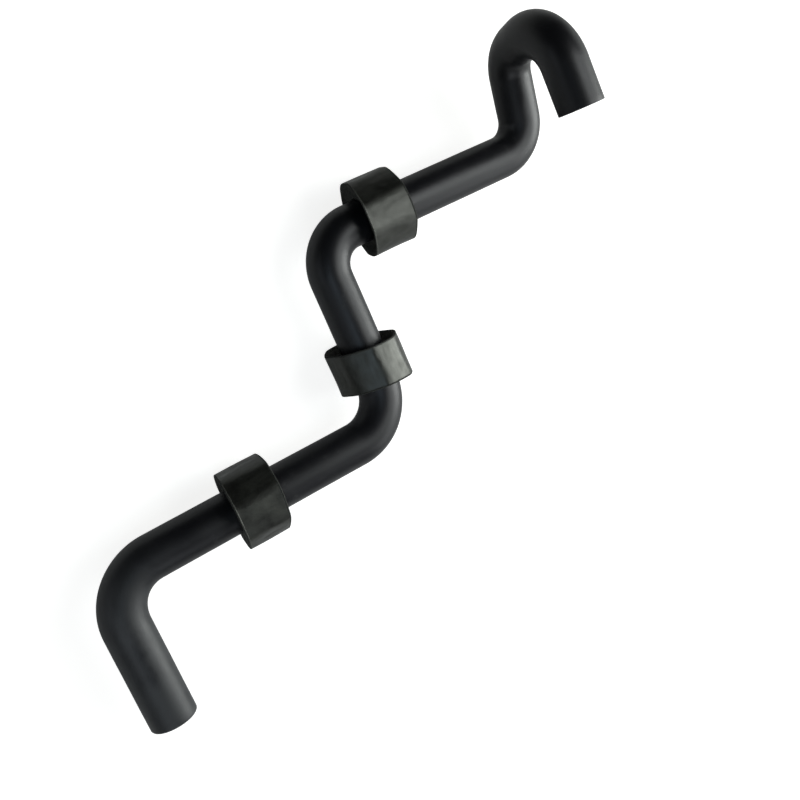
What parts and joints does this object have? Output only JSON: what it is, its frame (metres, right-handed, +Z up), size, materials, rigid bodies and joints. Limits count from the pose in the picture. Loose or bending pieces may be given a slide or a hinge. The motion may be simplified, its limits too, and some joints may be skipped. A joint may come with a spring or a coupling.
{
  "type": "crankcase ventilation pipe",
  "caption": "Moulded rubber breather hose in a stepped shape, turned over in a hook at its upper end, with thick foam rubber sleeves along it.",
  "frame": {"origin": "under the middle of the part's box, on the surface that it lies on", "axes": "+Z up from the surface; +X along the two long straights, from the lower end towards the hook; both mouths face -Y"},
  "size_m": [0.3466, 0.2556, 0.0948],
  "materials": {
    "moulded_rubber": "satin black moulded rubber",
    "foam_rubber": "dull black foam rubber with a thin skin"
  },
  "bodies": {
    "root": {"breather_hose": "moulded_rubber", "sleeve_lower": "foam_rubber", "sleeve_middle": "foam_rubber", "sleeve_upper": "foam_rubber"}
  },
  "joints": []
}
